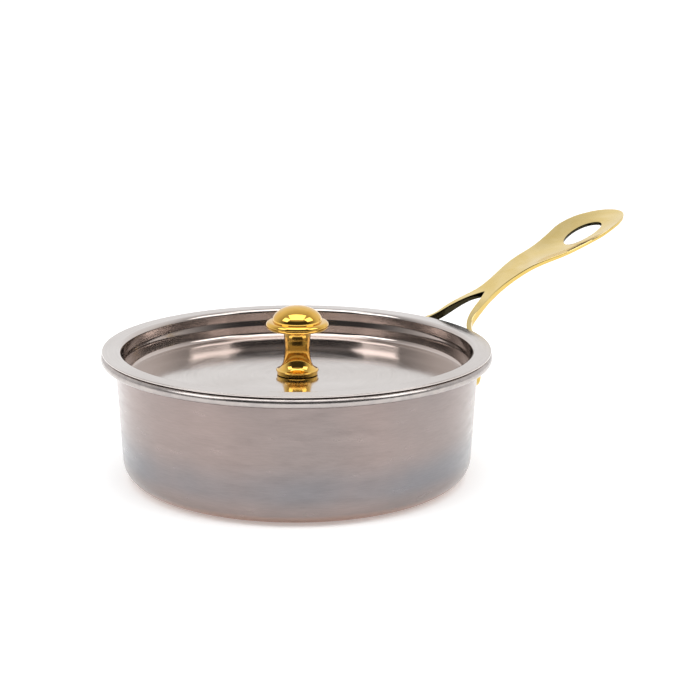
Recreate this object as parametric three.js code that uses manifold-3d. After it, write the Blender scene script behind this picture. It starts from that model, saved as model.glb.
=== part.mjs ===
// A small lidded saucepan: a copper jacket over a steel lining, a forked brass handle riveted on
// below the rim, and a sunk copper lid with a turned brass knob.
// Millimetres, +Z up. The origin is on the pan's axis at its base, and the handle points along +X.
import * as THREE from 'three';
import { mergeVertices } from 'three/addons/utils/BufferGeometryUtils.js';
import Module from 'manifold-3d';

const wasm = await Module();
wasm.setup();

// ---------- driving dimensions ----------

// How finely round pieces are faceted
const PAN_FACETS = 60;
const KNOB_FACETS = 32;
const SMALL_FACETS = 20;

// Gaps that keep touching pieces apart
const NEST_GAP = 0.2; // between nested or stacked sheets
const SEAT_GAP = 0.25; // between parts that rest or bolt on each other
const HOLE_GAP = 0.15; // round each rivet and screw

// Pan
const PAN_HEIGHT = 58.3; // to the top of the rim
const RIM_RADIUS = 88.5; // over the rolled bead
const RIM_WIDTH = 6.26; // from the outside of the wall out to the outside of the bead
const WALL_TAPER = 2.44; // how much the wall closes in from the rim to the bottom corner
const CORNER_RADIUS = 9.75;
const NECK_FILLET = 1.2; // where the wall turns out into the rim
const BEAD_RADIUS = 2.25;
const BEAD_CURL = 240; // degrees that the lining is rolled round
const COPPER_SHEET = 0.7;
const STEEL_SHEET = 0.6;
const JACKET_EDGE_INSET = 2.1; // from the rim's outside to the jacket's edge inside the bead

// Lid
const LID_INSET = 0.6; // how far the lid's edge stands in from the rim's outside
const LID_PLAY = 0.54; // all round, between the recess and the pan's mouth
const LID_SHEET = 0.9;
const LID_DEPTH = 13.5; // from the top of the flange to the sunk floor
const LID_STEP = 0.7; // how far the step half way down the recess comes in
const LID_WALL_DRAFT = 0.3; // lean of each half of the recess wall
const LID_MOUTH_FILLET = 1.9;
const LID_FLOOR_FILLET = 2.4;

// Knob
const KNOB_HEIGHT = 31.7;
const KNOB_BASE_RADIUS = 9.3;
const KNOB_BAND = 1.6; // straight band at the base
const KNOB_LIP = 0.4; // half the height of the rounded lip over the band
const KNOB_WAIST_RADIUS = 5.7;
const KNOB_WAIST_SHARE = 0.5; // height of the waist, as a share of the stem
const KNOB_BRIM_RADIUS = 14.3;
const KNOB_BRIM_EDGE = 1.75; // radius of the rounded brim
const KNOB_BRIM_STEP = 0.2; // from the top of the brim to the foot of the dome
const KNOB_DOME_RADIUS = 11.25;
const KNOB_DOME_HEIGHT = 6.9;
const KNOB_HOLE_DEPTH = 10.0;

// Screw and washer that hold the knob
const SCREW_RADIUS = 2.0;
const SCREW_REACH = 8.0; // length inside the knob
const SCREW_HEAD_RADIUS = 3.9;
const SCREW_HEAD_HEIGHT = 2.4;
const SCREW_HEAD_ROUND = 1.2;
const SCREW_SLOT_WIDTH = 1.0;
const SCREW_SLOT_DEPTH = 1.2;
const WASHER_RADIUS = 5.0;
const WASHER_THICKNESS = 0.8;

// Handle arm, which runs out along +X and rises
const FORK_REACH = 24.5; // from the rim to the start of the arm
const FORK_RISE = 13.0; // top of the arm's start over the pan's rim
const TIP_RISE = 42.5; // top of the arm's far end over the pan's rim
const ARM_LENGTH = 63.5; // from the arm's start to the centre of its oval end
const END_LENGTH = 27.3; // half length of the oval end
const END_WIDTH = 16.8; // half width of the oval end
const NECK_WIDTH = 6.0; // half width where the arm is narrowest
const ARM_START_WIDTH = 4.6; // half width at the fork
const ARM_ROOT_THICKNESS = 3.0;
const ARM_END_THICKNESS = 1.6;
const CUP_HEIGHT = 3.3; // how far the edges of the end stand over its middle
const SLOT_SHIFT = 2.6; // from the centre of the oval end to the centre of the slot
const SLOT_LENGTH = 11.7; // half length of the hanging slot
const SLOT_WIDTH = 7.0; // half width of the hanging slot

// Handle legs and feet
const LEG_LAP = 9.0; // how far the legs run up into the arm
const LEG_LAP_THICKNESS = 2.3; // inside the arm
const LEG_THICKNESS = 3.6;
const LEG_WIDTH = 5.0; // at the fork
const LEG_FOOT_WIDTH = 2.3; // from the rim down to the foot
const RIM_CLEARANCE = 0.3; // between the legs and the rim's bead
const FOOT_ANGLE = 26; // degrees from the handle's plane to each foot
const FOOT_DROP = 14.8; // from the rim's top down to the centre of each foot
const FOOT_PAD_RADIUS = 6.5;
const FOOT_THICKNESS = 3.4;

// Rivets
const RIVET_RADIUS = 2.0;
const RIVET_HEAD_RADIUS = 3.6;
const RIVET_HEAD_HEIGHT = 1.6;
const RIVET_TAIL_RADIUS = 3.0;
const RIVET_TAIL_HEIGHT = 0.6;

// ---------- helpers ----------

const rad = THREE.MathUtils.degToRad;
const point = (r, z) => new THREE.Vector2(r, z);

// Points along an arc in the radius-height plane, angles in degrees
function arc(centre, radius, from, to, steps) {
  return Array.from({ length: steps + 1 }, (_, i) => {
    const angle = rad(from + ((to - from) * i) / steps);
    return point(centre.x + radius * Math.cos(angle), centre.y + radius * Math.sin(angle));
  });
}

// A turned piece: the profile is (radius, height) and runs anticlockwise round the metal
function turned(profile, facets) {
  return new THREE.LatheGeometry(profile, facets).rotateX(Math.PI / 2);
}

function rod(radius, bottom, top, facets = SMALL_FACETS) {
  return turned([point(0, bottom), point(radius, bottom), point(radius, top), point(0, top)], facets);
}

function solid(geometry) {
  const bare = geometry.clone();
  bare.deleteAttribute('normal');
  bare.deleteAttribute('uv');
  const merged = mergeVertices(bare, 1e-4);
  return new wasm.Manifold(new wasm.Mesh({
    numProp: 3,
    vertProperties: new Float32Array(merged.attributes.position.array),
    triVerts: new Uint32Array(merged.index.array),
  }));
}

function geometryOf(manifold) {
  const { vertProperties, triVerts } = manifold.getMesh();
  const geometry = new THREE.BufferGeometry();
  geometry.setAttribute('position', new THREE.BufferAttribute(new Float32Array(vertProperties), 3));
  geometry.setIndex(new THREE.BufferAttribute(new Uint32Array(triVerts), 1));
  return geometry;
}

function cut(geometry, ...tools) {
  return geometryOf(tools.reduce((body, tool) => body.subtract(solid(tool)), solid(geometry)));
}

function join(...geometries) {
  return geometryOf(geometries.map(solid).reduce((body, next) => body.add(next)));
}

function common(first, second) {
  return geometryOf(solid(first).intersect(solid(second)));
}

function piece(name, geometry, color, roughness, metalness) {
  geometry.computeVertexNormals();
  const material = new THREE.MeshStandardMaterial({ color, roughness, metalness });
  const mesh = new THREE.Mesh(geometry, material);
  mesh.name = name;
  return mesh;
}

// ---------- pan walls ----------

const neckRadius = RIM_RADIUS - RIM_WIDTH;
const footRadius = neckRadius - WALL_TAPER;

// The jacket and the lining are nested: every surface is the outside of the jacket, offset inwards
// by a depth. The wall is the straight tangent between the corner's arc and the rim's arc.
const cornerCentre = point(footRadius - CORNER_RADIUS, CORNER_RADIUS);
const SHELL_DEPTH = COPPER_SHEET + NEST_GAP + STEEL_SHEET;
const rimCentre = point(neckRadius + NECK_FILLET, PAN_HEIGHT - SHELL_DEPTH - NECK_FILLET);
const centreLine = rimCentre.clone().sub(cornerCentre);
const wallTilt = THREE.MathUtils.radToDeg(
  centreLine.angle() - Math.acos((CORNER_RADIUS + NECK_FILLET) / centreLine.length()),
);

function wallSurface(depth) {
  return [
    ...arc(cornerCentre, CORNER_RADIUS - depth, -90, wallTilt, 5),
    ...arc(rimCentre, NECK_FILLET + depth, 180 + wallTilt, 90, 3),
  ];
}

// Radius of the jacket's straight wall at a height
function wallRadius(z) {
  const cornerEdge = arc(cornerCentre, CORNER_RADIUS, wallTilt, wallTilt, 1)[0];
  return cornerEdge.x - (z - cornerEdge.y) * Math.tan(rad(wallTilt));
}

const jacketEdge = RIM_RADIUS - JACKET_EDGE_INSET;
const jacketProfile = [
  point(0, 0),
  ...wallSurface(0),
  point(jacketEdge, rimCentre.y + NECK_FILLET),
  point(jacketEdge, rimCentre.y + NECK_FILLET + COPPER_SHEET),
  ...wallSurface(COPPER_SHEET).reverse(),
  point(0, COPPER_SHEET),
];

// The lining turns out over the jacket's rim and is rolled down round its edge
const liningDepth = COPPER_SHEET + NEST_GAP;
const beadCentre = point(RIM_RADIUS - BEAD_RADIUS, PAN_HEIGHT - BEAD_RADIUS);
const liningProfile = [
  point(0, liningDepth),
  ...wallSurface(liningDepth),
  ...arc(beadCentre, BEAD_RADIUS - STEEL_SHEET, 90, 90 - BEAD_CURL, 6),
  ...arc(beadCentre, BEAD_RADIUS, 90 - BEAD_CURL, 90, 8),
  ...wallSurface(SHELL_DEPTH).reverse(),
  point(0, SHELL_DEPTH),
];

// ---------- rivets through the feet ----------

const footHeight = PAN_HEIGHT - FOOT_DROP;

// Puts geometry made along +Z onto the wall at a foot, with +Z pointing straight out of the wall
function ontoWall(geometry, side) {
  return geometry
    .clone()
    .rotateY(Math.PI / 2 - rad(wallTilt))
    .translate(wallRadius(footHeight), 0, footHeight)
    .rotateZ(side * rad(FOOT_ANGLE));
}

const footTop = SEAT_GAP + FOOT_THICKNESS;
const rivetSeat = footTop + SEAT_GAP;
const tailSeat = -(SHELL_DEPTH + SEAT_GAP);
const [rivetBottom, rivetTop] = [tailSeat - RIVET_TAIL_HEIGHT, rivetSeat + RIVET_HEAD_HEIGHT];
const rivetDome = (RIVET_HEAD_RADIUS ** 2 + RIVET_HEAD_HEIGHT ** 2) / (2 * RIVET_HEAD_HEIGHT);
const domeSpan = THREE.MathUtils.radToDeg(Math.asin(RIVET_HEAD_RADIUS / rivetDome));
const rivetProfile = [
  point(0, rivetBottom),
  point(RIVET_TAIL_RADIUS - RIVET_TAIL_HEIGHT / 2, rivetBottom),
  point(RIVET_TAIL_RADIUS, rivetBottom + RIVET_TAIL_HEIGHT / 2),
  point(RIVET_TAIL_RADIUS, tailSeat),
  point(RIVET_RADIUS, tailSeat),
  point(RIVET_RADIUS, rivetSeat),
  ...arc(point(0, rivetTop - rivetDome), rivetDome, 90 - domeSpan, 90, 4),
];
const rivetHole = rod(RIVET_RADIUS + HOLE_GAP, rivetBottom, rivetTop);
const sides = { left: 1, right: -1 };
const rivetHoles = Object.values(sides).map((side) => ontoWall(rivetHole, side));

// Each foot is faced flat under its rivet's head
const headFace = rod(RIVET_HEAD_RADIUS + SEAT_GAP, footTop, rivetTop + RIVET_HEAD_HEIGHT);
const headFaces = Object.values(sides).map((side) => ontoWall(headFace, side));

// ---------- handle ----------

const armStart = RIM_RADIUS + FORK_REACH;
const endCentre = armStart + ARM_LENGTH;
const armEnd = endCentre + END_LENGTH;
const slotCentre = endCentre + SLOT_SHIFT;

// Height of the middle of the arm's top face, as shares of its whole length and rise
const armRise = new THREE.SplineCurve([
  [0, 0], [0.242, 0.34], [0.518, 0.518], [0.793, 0.836], [1, 1],
].map(([along, up]) => point(
  THREE.MathUtils.lerp(armStart, armEnd, along),
  PAN_HEIGHT + THREE.MathUtils.lerp(FORK_RISE, TIP_RISE, up),
)));

// Half width of the arm from its start to the middle of its oval end: it spreads at once into the
// neck, then in a long curve to the end
const armEdge = new THREE.SplineCurve([
  point(armStart, ARM_START_WIDTH),
  ...[[0.126, 0], [0.362, 0.212], [0.677, 0.566], [1, 1]].map(([along, out]) => point(
    armStart + along * ARM_LENGTH,
    THREE.MathUtils.lerp(NECK_WIDTH, END_WIDTH, out),
  )),
]);

// Reads a curve's height at an x that it runs through
function curveAt(curve, x) {
  let low = 0;
  let high = 1;
  for (let i = 0; i < 24; i += 1) {
    const middle = (low + high) / 2;
    if (curve.getPoint(middle).x < x) low = middle;
    else high = middle;
  }
  return curve.getPoint(low).y;
}

// How far out a spot lies between the middle line, 0, and the edge, 1
function edgeShare(x, y) {
  const across = y / (x < endCentre ? curveAt(armEdge, x) : END_WIDTH);
  const along = Math.max(0, x - endCentre) / END_LENGTH;
  return Math.hypot(across, along);
}

function armTop(x, y) {
  const cup = CUP_HEIGHT * THREE.MathUtils.smoothstep(x, armStart, endCentre);
  return curveAt(armRise, x) + cup * edgeShare(x, y) ** 2;
}

// The arm thins quickly after the fork, then stays even
function armThickness(x) {
  const share = THREE.MathUtils.clamp((x - armStart) / ARM_LENGTH, 0, 1);
  const thinned = Math.sin((share * Math.PI) / 2);
  return THREE.MathUtils.lerp(ARM_ROOT_THICKNESS, ARM_END_THICKNESS, thinned);
}

// An outline drawn from above, extruded up past the whole handle
function upright(outline, curveSegments) {
  const depth = 2 * (PAN_HEIGHT + TIP_RISE);
  return new THREE.ExtrudeGeometry(outline, { depth, bevelEnabled: false, curveSegments });
}

// A flat box bent to the arm's rise and cup, then trimmed to the arm's outline
function armGeometry() {
  const margin = 1;
  const length = armEnd + margin - armStart;
  const width = 2 * (END_WIDTH + margin);
  const bent = new THREE.BoxGeometry(length, width, 1, 26, 8, 1);
  bent.translate(armStart + length / 2, 0, -0.5);
  const spots = bent.attributes.position;
  for (let i = 0; i < spots.count; i += 1) {
    const [x, y] = [spots.getX(i), spots.getY(i)];
    spots.setZ(i, armTop(x, y) + spots.getZ(i) * armThickness(x));
  }
  const edge = armEdge.getPoints(14);
  const outline = new THREE.Shape();
  outline.setFromPoints(edge);
  outline.absellipse(endCentre, 0, END_LENGTH, END_WIDTH, Math.PI / 2, -Math.PI / 2, true);
  edge.reverse().forEach((spot) => outline.lineTo(spot.x, -spot.y));
  return common(bent, upright(outline, 9));
}

// The oval slot that the pan is hung by
function slotGeometry() {
  const slot = new THREE.Shape();
  slot.absellipse(slotCentre, 0, SLOT_LENGTH, SLOT_WIDTH, 0, 2 * Math.PI, false);
  return upright(slot, 12);
}

// A bar of rectangular section bent along a path. Facing gives the way its broad face looks, and
// width and thickness its section, each at a share of the way along.
function bentBar(path, facing, width, thickness, steps) {
  const bar = new THREE.BoxGeometry(1, 1, 1, steps, 2, 1);
  const spots = bar.attributes.position;
  for (let i = 0; i < spots.count; i += 1) {
    const share = spots.getX(i) + 0.5;
    const spot = path.getPoint(share);
    const along = path.getTangent(share);
    const side = facing(share, spot).cross(along).normalize();
    const out = along.clone().cross(side);
    spot.addScaledVector(side, width(share) * spots.getY(i));
    spot.addScaledVector(out, thickness(share) * spots.getZ(i));
    spots.setXYZ(i, spot.x, spot.y, spot.z);
  }
  return bar;
}

// A leg runs down out of the arm, round the outside of the rim and in to its foot on the wall. Its
// top face turns in towards the wall on the way down.
function legGeometry(side) {
  const around = (radius, degrees, z) => new THREE.Vector3(
    radius * Math.cos(rad(degrees)),
    side * radius * Math.sin(rad(degrees)),
    z,
  );
  const lapEnd = armStart + LEG_LAP;
  const outside = RIM_RADIUS + RIM_CLEARANCE + LEG_THICKNESS / 2;
  const footMiddle = wallRadius(footHeight) + SEAT_GAP + FOOT_THICKNESS / 2;
  // The bends on the way down: out from the rim, share of the way round, up from the rim's top
  const bends = [[12.2, 0.17, 7.1], [3.2, 0.28, 1.1], [0, 0.46, -2.9], [-3.2, 0.68, -8.2]];
  const path = new THREE.CatmullRomCurve3([
    around(lapEnd, 0.5, curveAt(armRise, lapEnd) - armThickness(lapEnd) / 2),
    ...bends.map(([out, round, up]) => around(outside + out, round * FOOT_ANGLE, PAN_HEIGHT + up)),
    around(footMiddle, FOOT_ANGLE, footHeight),
  ]);
  const { lerp, smoothstep } = THREE.MathUtils;
  const facing = (share, spot) => {
    const inward = new THREE.Vector3(-spot.x, -spot.y, 0).normalize();
    return new THREE.Vector3(0, 0, 1).lerp(inward, smoothstep(share, 0.3, 0.85));
  };
  const width = (share) => lerp(LEG_WIDTH, LEG_FOOT_WIDTH, smoothstep(share, 0, 0.45));
  const thickness = (share) => lerp(LEG_LAP_THICKNESS, LEG_THICKNESS, smoothstep(share, 0.1, 0.3));
  return bentBar(path, facing, width, thickness, 22);
}

// A foot is a round pad whose back follows the wall
function footGeometry(side) {
  const [low, high] = [footHeight - 2 * FOOT_PAD_RADIUS, footHeight + 2 * FOOT_PAD_RADIUS];
  const band = turned([
    point(wallRadius(low) + SEAT_GAP, low),
    point(wallRadius(low) + footTop, low),
    point(wallRadius(high) + footTop, high),
    point(wallRadius(high) + SEAT_GAP, high),
    point(wallRadius(low) + SEAT_GAP, low),
  ], PAN_FACETS);
  return common(band, ontoWall(rod(FOOT_PAD_RADIUS, -FOOT_PAD_RADIUS, 2 * FOOT_PAD_RADIUS), side));
}

// The space that the pan and the rising lid take, with the handle's clearances round them
function panSpace() {
  const beadBottom = PAN_HEIGHT - 2 * BEAD_RADIUS - RIM_CLEARANCE;
  const rim = RIM_RADIUS + RIM_CLEARANCE;
  return turned([
    point(0, 0),
    point(wallRadius(0) + SEAT_GAP, 0),
    point(wallRadius(beadBottom) + SEAT_GAP, beadBottom),
    point(rim, beadBottom),
    point(rim, 2 * PAN_HEIGHT),
    point(0, 2 * PAN_HEIGHT),
  ], PAN_FACETS);
}

function handleGeometry() {
  const bothSides = Object.values(sides);
  const whole = join(armGeometry(), ...bothSides.map(legGeometry), ...bothSides.map(footGeometry));
  return cut(whole, slotGeometry(), panSpace(), ...rivetHoles, ...headFaces);
}

// ---------- lid, knob and fasteners ----------

const lidTop = PAN_HEIGHT + SEAT_GAP + LID_SHEET;
const lidFloor = lidTop - LID_DEPTH;
const lidStep = lidTop - LID_DEPTH / 2;
const lidMouth = neckRadius - SHELL_DEPTH - LID_PLAY - LID_SHEET; // inside of the recess at the top
const lowerWall = lidMouth - LID_WALL_DRAFT - LID_STEP;
const floorWall = lowerWall - LID_WALL_DRAFT;

// One face of the lid from its middle out: 0 is the top face, and the sheet's thickness the other
function lidFace(depth) {
  const floorCentre = point(floorWall - LID_FLOOR_FILLET, lidFloor + LID_FLOOR_FILLET);
  const mouthCentre = point(lidMouth + LID_MOUTH_FILLET, lidTop - LID_MOUTH_FILLET);
  return [
    point(SCREW_RADIUS + HOLE_GAP, lidFloor - depth),
    ...arc(floorCentre, LID_FLOOR_FILLET + depth, -90, 0, 4),
    point(lowerWall + depth, lidStep - LID_STEP / 2),
    point(lowerWall + LID_STEP + depth, lidStep + LID_STEP / 2),
    ...arc(mouthCentre, LID_MOUTH_FILLET - depth, 180, 90, 3),
    point(RIM_RADIUS - LID_INSET, lidTop - depth),
  ];
}

const lidUnder = lidFace(LID_SHEET);
const lidProfile = [...lidUnder, ...lidFace(0).reverse(), lidUnder[0]];

const knobSeat = lidFloor + SEAT_GAP;
function knobProfile() {
  const { lerp } = THREE.MathUtils;
  const domeBase = KNOB_HEIGHT - KNOB_DOME_HEIGHT;
  const brimTop = domeBase - KNOB_BRIM_STEP;
  const brimCentre = point(KNOB_BRIM_RADIUS - KNOB_BRIM_EDGE, brimTop - KNOB_BRIM_EDGE);
  const lipCentre = point(KNOB_BASE_RADIUS, KNOB_BAND + KNOB_LIP);
  const stemFoot = point(lipCentre.x - KNOB_LIP, lipCentre.y + KNOB_LIP);
  const stemTop = point(brimCentre.x - KNOB_BRIM_EDGE, brimTop - 2.2 * KNOB_BRIM_EDGE);
  // The stem sweeps in from the foot to the waist, then out to the underside of the brim
  const rise = (share) => lerp(stemFoot.y, stemTop.y, share);
  const stem = new THREE.SplineCurve([
    stemFoot,
    ...[[0.44, 0.2], [0.16, 0.5]].map(([out, up]) => point(
      lerp(KNOB_WAIST_RADIUS, stemFoot.x, out),
      rise(up * KNOB_WAIST_SHARE),
    )),
    point(KNOB_WAIST_RADIUS, rise(KNOB_WAIST_SHARE)),
    ...[[0.03, 0.45], [0.2, 0.88]].map(([out, up]) => point(
      lerp(KNOB_WAIST_RADIUS, stemTop.x, out),
      rise(lerp(KNOB_WAIST_SHARE, 1, up)),
    )),
    stemTop,
  ]);
  const dome = arc(point(0, 0), 1, 0, 90, 7).map(
    (spot) => point(KNOB_DOME_RADIUS * spot.x, domeBase + KNOB_DOME_HEIGHT * spot.y),
  );
  dome.at(-1).x = 0;
  return [
    point(0, KNOB_HOLE_DEPTH),
    point(SCREW_RADIUS + HOLE_GAP, KNOB_HOLE_DEPTH - 1),
    point(SCREW_RADIUS + HOLE_GAP, 0),
    point(KNOB_BASE_RADIUS, 0),
    ...arc(lipCentre, KNOB_LIP, -90, 90, 2),
    ...stem.getPoints(11),
    ...arc(brimCentre, KNOB_BRIM_EDGE, -90, 90, 4),
    ...dome,
  ];
}

const washerTop = lidFloor - LID_SHEET - NEST_GAP;
const washerBottom = washerTop - WASHER_THICKNESS;
const washerProfile = [
  point(SCREW_RADIUS + HOLE_GAP, washerBottom),
  point(WASHER_RADIUS, washerBottom),
  point(WASHER_RADIUS, washerTop),
  point(SCREW_RADIUS + HOLE_GAP, washerTop),
  point(SCREW_RADIUS + HOLE_GAP, washerBottom),
];

const headTop = washerBottom - NEST_GAP;
const headBottom = headTop - SCREW_HEAD_HEIGHT;
const headRound = point(SCREW_HEAD_RADIUS - SCREW_HEAD_ROUND, headBottom + SCREW_HEAD_ROUND);
const screwProfile = [
  point(0, headBottom),
  ...arc(headRound, SCREW_HEAD_ROUND, -90, 0, 3),
  point(SCREW_HEAD_RADIUS, headTop),
  point(SCREW_RADIUS, headTop),
  point(SCREW_RADIUS, knobSeat + SCREW_REACH),
  point(0, knobSeat + SCREW_REACH),
];
const slotReach = 3 * SCREW_HEAD_RADIUS;
const screwSlot = new THREE.BoxGeometry(slotReach, SCREW_SLOT_WIDTH, 2 * SCREW_SLOT_DEPTH);
screwSlot.translate(0, 0, headBottom);

// ---------- assembly ----------

const COPPER = 0xb08f86;
const BRASS = 0xd9b25a;
const STEEL = 0xc9c8c6;

const pan = new THREE.Group();
pan.add(
  piece('pan_jacket', cut(turned(jacketProfile, PAN_FACETS), ...rivetHoles), COPPER, 0.38, 1),
  piece('pan_lining', cut(turned(liningProfile, PAN_FACETS), ...rivetHoles), STEEL, 0.25, 1),
  piece('handle', handleGeometry(), BRASS, 0.2, 1),
);
for (const [name, side] of Object.entries(sides)) {
  pan.add(piece(`rivet_${name}`, ontoWall(turned(rivetProfile, SMALL_FACETS), side), BRASS, 0.25, 1));
}

const lid = new THREE.Group();
const knob = piece('knob', turned(knobProfile(), KNOB_FACETS), BRASS, 0.15, 1);
knob.position.z = knobSeat;
lid.add(
  piece('lid', turned(lidProfile, PAN_FACETS), COPPER, 0.22, 1),
  knob,
  piece('knob_screw', cut(turned(screwProfile, SMALL_FACETS), screwSlot), STEEL, 0.3, 1),
  piece('knob_washer', turned(washerProfile, SMALL_FACETS), STEEL, 0.35, 1),
);

const saucepan = new THREE.Group();
saucepan.add(pan, lid);

export default saucepan;
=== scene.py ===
# A small lidded saucepan, built in the order that it is put together: copper jacket, steel lining,
# brass handle and its rivets, copper lid, brass knob with its screw and washer, then the studio.
# Sizes are in millimetres and become metres as each mesh is made.
import math

import bmesh
import bpy
from mathutils import Matrix, Vector, noise


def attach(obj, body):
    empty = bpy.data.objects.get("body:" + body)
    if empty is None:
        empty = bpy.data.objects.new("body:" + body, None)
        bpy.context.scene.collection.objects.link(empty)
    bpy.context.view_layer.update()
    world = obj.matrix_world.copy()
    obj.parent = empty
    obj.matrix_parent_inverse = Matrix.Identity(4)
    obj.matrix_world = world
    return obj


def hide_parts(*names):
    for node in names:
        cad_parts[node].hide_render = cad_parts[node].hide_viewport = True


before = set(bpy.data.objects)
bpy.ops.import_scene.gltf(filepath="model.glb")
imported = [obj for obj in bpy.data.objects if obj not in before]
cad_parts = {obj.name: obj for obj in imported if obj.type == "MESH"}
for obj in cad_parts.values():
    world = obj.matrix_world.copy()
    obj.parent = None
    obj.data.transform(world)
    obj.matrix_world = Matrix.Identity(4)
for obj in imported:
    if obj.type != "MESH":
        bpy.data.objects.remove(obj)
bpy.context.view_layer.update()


# ---------- Copper jacket ----------
# The outside of the pan is one sheet of copper, spun to a straight-sided cup with a round corner.
# It is brushed round and round and darkened to a soft grey-brown, with painted reflections low
# down: a blue-grey band for the floor's shadow and an orange tint at the corner, and its top edge
# is caught inside the lining's rolled rim.

MM = 0.001
PAN_HEIGHT = 58.3
RIM_RADIUS = 88.5
NECK_RADIUS = 82.24
FOOT_RADIUS = 79.8
CORNER_RADIUS = 9.75
NECK_FILLET = 1.2
COPPER_SHEET = 0.7
STEEL_SHEET = 0.6
NEST_GAP = 0.2
SHELL_DEPTH = COPPER_SHEET + NEST_GAP + STEEL_SHEET
EDGE_INSIDE_BEAD = 2.1
JACKET_EDGE = RIM_RADIUS - EDGE_INSIDE_BEAD
COPPER_BROWN = (0.325, 0.255, 0.236)
COPPER_GREY = (0.262, 0.224, 0.215)
FLOOR_SHADOW_BLUE = (0.20, 0.205, 0.225)
CORNER_REFLECTION_ORANGE = (0.66, 0.36, 0.24)
JACKET_ROUGHNESS = (0.27, 0.38)


def arc(centre, radius, start, end, steps):
    """Points of a profile along an arc, angles in degrees."""
    turns = [math.radians(start + (end - start) * i / steps) for i in range(steps + 1)]
    return [(centre[0] + radius * math.cos(t), centre[1] + radius * math.sin(t)) for t in turns]


def steadied(profile, ease=0.35, reach=2.0):
    """Adds a point near each end of a long straight run, so that the run stays flat when shaded."""
    points = [profile[0]]
    for a, b in zip(profile, profile[1:]):
        length = math.dist(a, b)
        if length > reach:
            for share in (ease / length, 1 - ease / length):
                points.append((a[0] + (b[0] - a[0]) * share, a[1] + (b[1] - a[1]) * share))
        points.append(b)
    return points


def as_object(shape, name, sharp=40):
    """Turns a bmesh in millimetres into a smooth-shaded object in metres, with crisp corners."""
    bmesh.ops.recalc_face_normals(shape, faces=shape.faces)
    bmesh.ops.scale(shape, vec=(MM, MM, MM), verts=shape.verts)
    mesh = bpy.data.meshes.new(name)
    shape.to_mesh(mesh)
    shape.free()
    mesh.shade_smooth()
    mesh.set_sharp_from_angle(angle=math.radians(sharp))
    made = bpy.data.objects.new(name, mesh)
    bpy.context.scene.collection.objects.link(made)
    return made


ON_AXIS = 1e-6
SAME_SPOT = 1e-5


def spin(shape, profile, segments):
    """Adds a turned form to a bmesh: the profile of (radius, height) goes right round the metal."""
    rings = []
    for radius, height in profile:
        count = 1 if radius < ON_AXIS else segments
        turns = [2 * math.pi * i / segments for i in range(count)]
        rings.append([
            shape.verts.new((radius * math.cos(t), radius * math.sin(t), height)) for t in turns
        ])
    for low, high in zip(rings, rings[1:]):
        for i in range(segments):
            places = ((low, i), (low, i + 1), (high, i + 1), (high, i))
            corners = list(dict.fromkeys(ring[k % len(ring)] for ring, k in places))
            if len(corners) > 2:
                shape.faces.new(corners)
    bmesh.ops.remove_doubles(shape, verts=shape.verts, dist=SAME_SPOT)
    return shape


def turned(name, profile, segments=240):
    return as_object(spin(bmesh.new(), steadied(profile), segments), name)


corner_centre = (FOOT_RADIUS - CORNER_RADIUS, CORNER_RADIUS)
rim_centre = (NECK_RADIUS + NECK_FILLET, PAN_HEIGHT - SHELL_DEPTH - NECK_FILLET)
rise = (rim_centre[0] - corner_centre[0], rim_centre[1] - corner_centre[1])
wall_tilt = math.degrees(
    math.atan2(rise[1], rise[0]) - math.acos((CORNER_RADIUS + NECK_FILLET) / math.hypot(*rise))
)


def wall_surface(depth):
    """The jacket's outside, set in by a depth: its corner, straight wall and turned-out neck."""
    return [
        *arc(corner_centre, CORNER_RADIUS - depth, -90, wall_tilt, 14),
        *arc(rim_centre, NECK_FILLET + depth, 180 + wall_tilt, 90, 8),
    ]


def wall_radius(height):
    edge = arc(corner_centre, CORNER_RADIUS, wall_tilt, wall_tilt, 1)[0]
    return edge[0] - (height - edge[1]) * math.tan(math.radians(wall_tilt))


neck_top = rim_centre[1] + NECK_FILLET
jacket = turned("jacket", [
    (0, 0),
    *wall_surface(0),
    (JACKET_EDGE, neck_top),
    (JACKET_EDGE, neck_top + COPPER_SHEET),
    *reversed(wall_surface(COPPER_SHEET)),
    (0, COPPER_SHEET),
])


def put(tree, kind, *sockets, **settings):
    """Adds a node. Each further item is (input, value or socket); settings are node properties."""
    made = tree.nodes.new("ShaderNode" + kind)
    for key, value in settings.items():
        setattr(made, key, value)
    for which, value in sockets:
        target = made.inputs[which]
        if isinstance(value, bpy.types.NodeSocket):
            tree.links.new(value, target)
        else:
            target.default_value = value
    return made


def math_of(tree, operation, a, b=0.0):
    return put(tree, "Math", (0, a), (1, b), operation=operation).outputs[0]


def blend(tree, share, a, b, way="MIX"):
    """Mixes two colours, each of them a socket or a plain (red, green, blue)."""
    a, b = ((*colour, 1) if isinstance(colour, tuple) else colour for colour in (a, b))
    made = put(tree, "Mix", (0, share), (6, a), (7, b), data_type="RGBA", blend_type=way)
    return made.outputs[2]


def spread(tree, value, low, high, to_low=0.0, to_high=1.0, smooth=False):
    """Maps a value's range low..high onto another, clamped."""
    way = "SMOOTHSTEP" if smooth else "LINEAR"
    return put(
        tree, "MapRange", (0, value), (1, low), (2, high), (3, to_low), (4, to_high),
        interpolation_type=way,
    ).outputs[0]


def new_group(name, inputs, outputs):
    """Starts a node group with float inputs {name: default} and float outputs."""
    group = bpy.data.node_groups.new(name, "ShaderNodeTree")
    for label, value in inputs.items():
        socket = group.interface.new_socket(label, in_out="INPUT", socket_type="NodeSocketFloat")
        socket.default_value = value
    for label in outputs:
        group.interface.new_socket(label, in_out="OUTPUT", socket_type="NodeSocketFloat")
    return group, group.nodes.new("NodeGroupInput"), group.nodes.new("NodeGroupOutput")


def use_group(tree, group, **values):
    made = tree.nodes.new("ShaderNodeGroup")
    made.node_tree = group
    for label, value in values.items():
        made.inputs[label].default_value = value
    return made


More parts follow.
